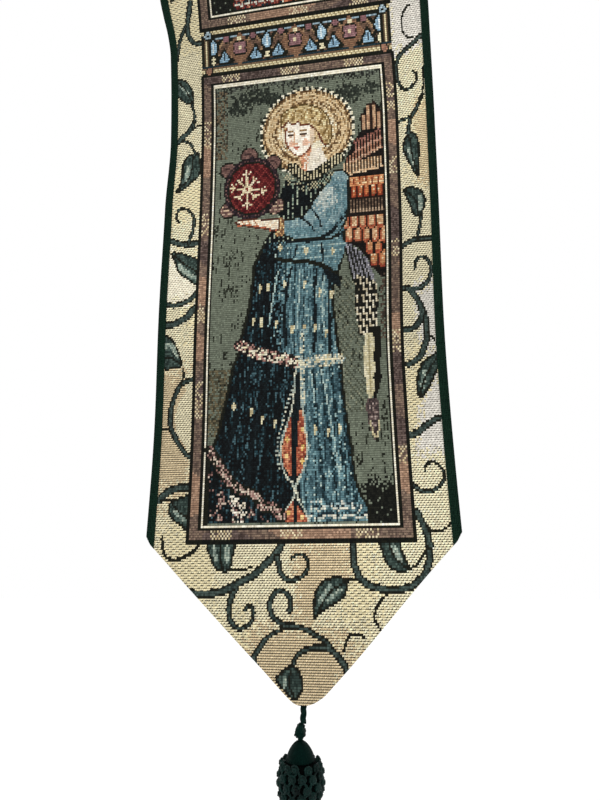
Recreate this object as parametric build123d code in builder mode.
from build123d import *
import math
import os

# A tapestry bell pull: a narrow woven strip with a pointed foot and a tassel. It hangs by a rod
# and a cord from one nail. Millimetres. The origin is the top of the nail, under the cord.
# The front faces -Y, +X is to the right seen from the front, and +Z is up.

# Hanging cord and rod
nail_radius = 2.5
hanging_cord_radius = 2.0
rod_drop = 110.0  # nail down to the rod's centre
rod_radius = 6.0
rod_barrel_length = 256.0
spigot_radius = 4.0
spigot_length = 14.0
fit_clearance = 0.05  # radial, between a spigot and its finial
knot_radius = 4.5

# Finials, turned wood
finial_collar_radius = 8.5
finial_collar_length = 4.0
finial_neck_radius = 5.6
finial_ball_radius = 12.2
finial_length = 31.0

# Woven strip
strip_width = 229.0
cloth_above_rod = 10.0
cloth_length = 984.0  # top edge to the rounded tip
point_depth = 112.5  # side corners down to where the two slanting edges meet
tip_radius = 10.0
face_thickness = 1.4
lining_thickness = 0.5
binding_thickness = 0.5
binding_cover = 7.0  # how far a binding comes in over the front and the back
gap = 0.1  # between layers that lie on each other

# Rod sleeve on the back
sleeve_thickness = 0.6
sleeve_inner_radius = 6.35
sleeve_strip_above = 9.0
sleeve_strip_below = 12.0
stitch_pitch = 8.0

# Tassel
tassel_x = -3.0  # the tassel hangs a little to the left of the tip
tassel_cord_radius = 1.9
cord_pivot_above_tip = 4.0
knot_below_tip = 16.9
knot_half_width = 3.65
knot_half_height = 4.6
cap_top_below_tip = 22.2
cap_bottom_below_tip = 34.0
cap_top_radius = 2.7
cap_radius = 9.4
bulb_middle_below_tip = 49.0
bulb_bottom_below_tip = 67.0
bulb_radius = 15.0
net_thickness = 1.8
neck_radius = 8.0
neck_wrap_radius = 9.4
neck_wrap_height = 5.0
skirt_bottom_below_tip = 155.0
skirt_hem_radius = 17.5
spindle_radius = 3.0
spindle_length = 16.0

os.makedirs("parts", exist_ok=True)

rod_z = -rod_drop
strip_top = rod_z + cloth_above_rod
tip_z = strip_top - cloth_length
half_width = strip_width / 2

# The strip hangs in a few long waves. hang(z) is how far its front lies behind the plane of the
# cord, as a sum of cosines that starts level at the top edge.
wave_heights = [-5.0, -8.5, -5.7, 10.6, 1.2, 1.3, -2.9]


def hang(z):
    down = (strip_top - z) / cloth_length
    return sum(h * math.cos(k * math.pi * down) for k, h in enumerate(wave_heights))


cutter_depth = 120.0  # front to back, well past the waves
wave_steps = 26
wave_levels = [strip_top - (cloth_length + 8) * i / wave_steps for i in range(wave_steps + 1)]


def layer_profile(front, back, left=-half_width):
    """The side view, at x = left, of a layer between two depths behind the strip's front."""
    with BuildSketch(Plane.YZ.offset(left)) as profile:
        with BuildLine():
            front_line = Spline(*[(hang(z) + front, z) for z in wave_levels])
            back_line = Spline(*[(hang(z) + back, z) for z in wave_levels])
            Line(front_line @ 0, back_line @ 0)
            Line(front_line @ 1, back_line @ 1)
        make_face()
    return profile.sketch


def strip_outline(edge_inset=0.0):
    """The front view of the strip: straight sides and a pointed foot with a rounded tip."""
    side = half_width - edge_inset
    rise = tip_radius * (math.hypot(side, point_depth) / side - 1)  # sharp corner to round tip
    with BuildSketch(Plane.XZ.offset(-cutter_depth / 2)) as outline:
        with BuildLine():
            Polyline(
                (-side, strip_top),
                (side, strip_top),
                (side, tip_z - rise + point_depth),
                (0, tip_z - rise),
                (-side, tip_z - rise + point_depth),
                close=True,
            )
        make_face()
        fillet(outline.vertices().sort_by(Axis.Y)[0], radius=tip_radius)
    return outline.sketch


def finish(part, label):
    part.label = label
    export_step(part, f"parts/{label}.step")


# Woven face, its lining, and the bindings folded over the two long sides
edge_inset = binding_thickness + gap
lining_front = face_thickness + gap
lining_back = lining_front + lining_thickness

with BuildPart() as tapestry_face:
    extrude(layer_profile(0, face_thickness), amount=strip_width)
    extrude(strip_outline(edge_inset), amount=cutter_depth, mode=Mode.INTERSECT)
finish(tapestry_face.part, "tapestry_face")

with BuildPart() as lining_cloth:
    extrude(layer_profile(lining_front, lining_back), amount=strip_width)
    extrude(strip_outline(edge_inset), amount=cutter_depth, mode=Mode.INTERSECT)
finish(lining_cloth.part, "lining_cloth")

for side, name in ((-1, "left_binding"), (1, "right_binding")):
    with BuildPart() as binding:
        outside = layer_profile(-gap - binding_thickness, lining_back + gap + binding_thickness)
        inside = layer_profile(-gap, lining_back + gap, binding_thickness - half_width)
        extrude(outside, amount=strip_width)
        extrude(inside, amount=strip_width - 2 * binding_thickness, mode=Mode.SUBTRACT)
        extrude(strip_outline(), amount=cutter_depth, mode=Mode.INTERSECT)
        with Locations((side * (half_width - binding_cover / 2), 0, tip_z / 2)):
            Box(binding_cover, cutter_depth, 3 * cloth_length, mode=Mode.INTERSECT)
    finish(binding.part, name)

# Rod sleeve: a tube of lining cloth with a flat strip that is sewn to the lining
sleeve_half_length = half_width - binding_cover - 1.5
strip_front = hang(strip_top) + lining_back + gap
with BuildPart() as rod_sleeve:
    with BuildSketch(Plane.YZ.offset(-sleeve_half_length)):
        with Locations((0, rod_z)):
            Circle(sleeve_inner_radius + sleeve_thickness)
        with Locations((strip_front, rod_z - sleeve_strip_below)):
            Rectangle(
                sleeve_thickness,
                sleeve_strip_above + sleeve_strip_below,
                align=(Align.MIN, Align.MIN),
            )
        with Locations((0, rod_z)):
            Circle(sleeve_inner_radius, mode=Mode.SUBTRACT)
    extrude(amount=2 * sleeve_half_length)
finish(rod_sleeve.part, "rod_sleeve")

stitch_rows = (sleeve_strip_above - 0.8, -(sleeve_strip_below - 1.2))
stitch_count = int(2 * sleeve_half_length / stitch_pitch)
with BuildPart() as sleeve_stitches:
    for row in stitch_rows:
        with Locations((0, strip_front + sleeve_thickness + 0.2, rod_z + row)):
            with GridLocations(stitch_pitch, 1, stitch_count, 1):
                Box(3.2, 0.4, 0.6)
finish(sleeve_stitches.part, "sleeve_stitches")

# Rod with a spigot at each end, and a finial pushed on to each spigot
with BuildPart() as hanging_rod:
    with BuildSketch(Plane.YZ.offset(-rod_barrel_length / 2)):
        with Locations((0, rod_z)):
            Circle(rod_radius)
    extrude(amount=rod_barrel_length)
    with BuildSketch(Plane.YZ.offset(-rod_barrel_length / 2 - spigot_length)):
        with Locations((0, rod_z)):
            Circle(spigot_radius)
    extrude(amount=rod_barrel_length + 2 * spigot_length)
    chamfer(hanging_rod.edges().group_by(Axis.X)[0] + hanging_rod.edges().group_by(Axis.X)[-1], 0.6)
finish(hanging_rod.part, "hanging_rod")

ball_centre = finial_length - finial_ball_radius
neck_start = finial_collar_length + 1.5
neck_end = ball_centre - math.sqrt(finial_ball_radius**2 - finial_neck_radius**2)
for side, name in ((-1, "left_finial"), (1, "right_finial")):
    start_x = side * (rod_barrel_length / 2 + gap)
    with BuildPart() as finial:
        with BuildSketch(Plane((start_x, 0, rod_z), x_dir=(side, 0, 0), z_dir=(0, -side, 0))):
            with BuildLine():
                Polyline(
                    (0, 0),
                    (0, finial_collar_radius - 0.8),
                    (0.8, finial_collar_radius),
                    (finial_collar_length - 0.8, finial_collar_radius),
                    (finial_collar_length, finial_collar_radius - 0.8),
                    (neck_start, finial_neck_radius),
                    (neck_end, finial_neck_radius),
                )
                ThreePointArc(
                    (neck_end, finial_neck_radius),
                    (ball_centre, finial_ball_radius),
                    (finial_length, 0),
                )
                Line((finial_length, 0), (0, 0))
            make_face()
        revolve(axis=Axis((0, 0, rod_z), (1, 0, 0)))
        with BuildSketch(Plane((start_x, 0, rod_z), z_dir=(side, 0, 0))):
            Circle(spigot_radius + fit_clearance)
        extrude(amount=spigot_length + 0.4, mode=Mode.SUBTRACT)
    finish(finial.part, name)

# Hanging cord: a loop round each end of the rod, a knot on the loop, and the cord over the nail
loop_x = rod_barrel_length / 2 - 6.5
loop_radius = rod_radius + 0.15 + hanging_cord_radius
knot_z = rod_z + loop_radius + hanging_cord_radius + 0.05 + knot_radius
apex_arc = nail_radius + hanging_cord_radius
cord_slope = math.atan2(hanging_cord_radius - knot_z, loop_x)
apex_z = hanging_cord_radius + apex_arc * (1 / math.cos(cord_slope) - 1)
cord_route = [(-loop_x, 0, knot_z), (0, 0, apex_z), (loop_x, 0, knot_z)]
print("hanging cord: apex arc", round(apex_arc, 2), "slope", round(math.degrees(cord_slope), 1))

for side, prefix in ((-1, "left"), (1, "right")):
    with BuildPart() as cord_loop:
        with BuildSketch(Plane.XZ):
            with Locations((side * loop_x, rod_z + loop_radius)):
                Circle(hanging_cord_radius)
        revolve(axis=Axis((0, 0, rod_z), (1, 0, 0)))
    finish(cord_loop.part, f"{prefix}_cord_loop")

    with BuildPart() as cord_knot:
        with Locations((side * loop_x, 0, knot_z)):
            Sphere(knot_radius)
    finish(cord_knot.part, f"{prefix}_cord_knot")

with BuildPart() as hanging_cord:
    with BuildLine() as cord_line:
        FilletPolyline(*cord_route, radius=apex_arc)
    cord_path = cord_line.wire()
    with BuildSketch(Plane(cord_path @ 0, z_dir=cord_path % 0)):
        Circle(hanging_cord_radius)
    sweep(path=cord_path)
finish(hanging_cord.part, "hanging_cord")
print("hanging cord: length", round(cord_path.length, 1), "volume", round(hanging_cord.part.volume))

# Tassel cord, sewn to the back of the tip
pivot_z = tip_z + cord_pivot_above_tip
tassel_y = hang(tip_z) + lining_back + 0.4 + tassel_cord_radius
knot_centre_z = tip_z - knot_below_tip
cord_route_down = [(0, tassel_y, pivot_z), (tassel_x / 3, tassel_y, knot_centre_z + knot_half_height + 0.4)]

with BuildPart() as tassel_cord:
    with BuildLine() as drop_line:
        Line(*cord_route_down)
    drop_path = drop_line.wire()
    with BuildSketch(Plane(drop_path @ 0, z_dir=drop_path % 0)):
        Circle(tassel_cord_radius)
    sweep(path=drop_path)
    with Locations(cord_route_down[0]):
        Sphere(tassel_cord_radius)
finish(tassel_cord.part, "tassel_cord")

anchor_bottom = pivot_z + tassel_cord_radius + 0.3
anchor_height = 18.0
anchor_thickness = 3.0
anchor_width = 4.6
with BuildPart() as cord_anchor:
    anchor_front = lining_back + gap
    anchor_profile = layer_profile(anchor_front, anchor_front + anchor_thickness, -anchor_width / 2)
    extrude(anchor_profile, amount=anchor_width)
    with Locations((0, 0, anchor_bottom + anchor_height / 2)):
        Box(2 * anchor_width, cutter_depth, anchor_height, mode=Mode.INTERSECT)
    fillet(cord_anchor.edges().filter_by(Axis.Y), 1.2)
finish(cord_anchor.part, "cord_anchor")

whip_width = anchor_width + 2.0
with BuildPart() as tip_stitches:
    for step in range(5):
        stitch_z = anchor_bottom + 2.4 + 3.3 * step
        back = hang(stitch_z) + lining_back + 0.15
        with BuildSketch(Plane.XY.offset(stitch_z)):
            with Locations((0, back)):
                Rectangle(whip_width, anchor_thickness + 0.8, align=(Align.CENTER, Align.MIN))
                Rectangle(
                    anchor_width + 0.4,
                    anchor_thickness + 0.2,
                    align=(Align.CENTER, Align.MIN),
                    mode=Mode.SUBTRACT,
                )
        extrude(amount=0.6)
finish(tip_stitches.part, "tip_stitches")

with BuildPart() as tassel_knot:
    with BuildSketch(Plane.XZ.offset(-tassel_y)):
        with Locations((tassel_x, knot_centre_z)):
            Ellipse(knot_half_width, knot_half_height)
            Rectangle(
                2 * knot_half_width,
                4 * knot_half_height,
                align=(Align.MAX, Align.CENTER),
                mode=Mode.SUBTRACT,
            )
    revolve(axis=Axis((tassel_x, tassel_y, 0), (0, 0, 1)))
finish(tassel_knot.part, "tassel_knot")


def turned_profile(points):
    """Half of a turned outline about the tassel's axis, from (radius, depth below the tip)."""
    return [(tassel_x + radius, tip_z - depth) for radius, depth in points]


tassel_axis = Axis((tassel_x, tassel_y, 0), (0, 0, 1))
tassel_plane = Plane.XZ.offset(-tassel_y)

with BuildPart() as tassel_cap:
    with BuildSketch(tassel_plane):
        with BuildLine():
            top, rim, foot, head = turned_profile([
                (cap_top_radius, cap_top_below_tip),
                (cap_radius, cap_bottom_below_tip),
                (0, cap_bottom_below_tip),
                (0, cap_top_below_tip),
            ])
            ThreePointArc(top, turned_profile([(7.2, 27.2)])[0], rim)
            Polyline(rim, foot, head, top)
        make_face()
    revolve(axis=tassel_axis)
finish(tassel_cap.part, "tassel_cap")

core_top = cap_bottom_below_tip + gap
core_radius = bulb_radius - net_thickness - 2 * gap
with BuildPart() as tassel_core:
    with BuildSketch(tassel_plane):
        with BuildLine():
            shoulder, belly, waist, stem_top, stem_foot, foot, head = turned_profile([
                (8.0, core_top),
                (core_radius, bulb_middle_below_tip),
                (7.0, bulb_bottom_below_tip - 2),
                (spindle_radius, bulb_bottom_below_tip - 2),
                (spindle_radius, bulb_bottom_below_tip + spindle_length),
                (0, bulb_bottom_below_tip + spindle_length),
                (0, core_top),
            ])
            ThreePointArc(shoulder, belly, waist)
            Polyline(waist, stem_top, stem_foot, foot, head, shoulder)
        make_face()
    revolve(axis=tassel_axis)
finish(tassel_core.part, "tassel_core")

with BuildPart() as tassel_net:
    with BuildSketch(tassel_plane):
        with BuildLine():
            outer_top, outer_belly, outer_foot, inner_foot, inner_belly, inner_top = turned_profile([
                (8.4 + net_thickness, core_top),
                (bulb_radius, bulb_middle_below_tip),
                (7.4 + net_thickness, bulb_bottom_below_tip - 2),
                (7.4, bulb_bottom_below_tip - 2),
                (bulb_radius - net_thickness, bulb_middle_below_tip),
                (8.4, core_top),
            ])
            ThreePointArc(outer_top, outer_belly, outer_foot)
            Line(outer_foot, inner_foot)
            ThreePointArc(inner_foot, inner_belly, inner_top)
            Line(inner_top, outer_top)
        make_face()
    revolve(axis=tassel_axis)
finish(tassel_net.part, "tassel_net")

skirt_top = bulb_bottom_below_tip - 2 + gap
wrap_top = skirt_top + 1.2
with BuildPart() as tassel_skirt:
    with BuildSketch(tassel_plane):
        with BuildLine():
            inner_top, outer_top, wrap_end, hem, hem_middle, bore_foot, bore_corner = turned_profile([
                (spindle_radius + gap, skirt_top),
                (neck_radius, skirt_top),
                (neck_radius, wrap_top + neck_wrap_height),
                (skirt_hem_radius, skirt_bottom_below_tip),
                (0, skirt_bottom_below_tip),
                (0, bulb_bottom_below_tip + spindle_length + 1),
                (spindle_radius + gap, bulb_bottom_below_tip + spindle_length + 1),
            ])
            Polyline(inner_top, outer_top, wrap_end)
            flare_middle = turned_profile([(14.2, 108.0)])[0]
            ThreePointArc(wrap_end, flare_middle, hem)
            Polyline(hem, hem_middle, bore_foot, bore_corner, inner_top)
        make_face()
    revolve(axis=tassel_axis)
finish(tassel_skirt.part, "tassel_skirt")

with BuildPart() as neck_wrap:
    with BuildSketch(Plane.XY.offset(tip_z - wrap_top - neck_wrap_height)):
        with Locations((tassel_x, tassel_y)):
            Circle(neck_wrap_radius)
            Circle(neck_radius + gap, mode=Mode.SUBTRACT)
    extrude(amount=neck_wrap_height)
    fillet(neck_wrap.edges().filter_by(GeomType.CIRCLE).group_by(SortBy.RADIUS)[-1], 0.5)
finish(neck_wrap.part, "neck_wrap")
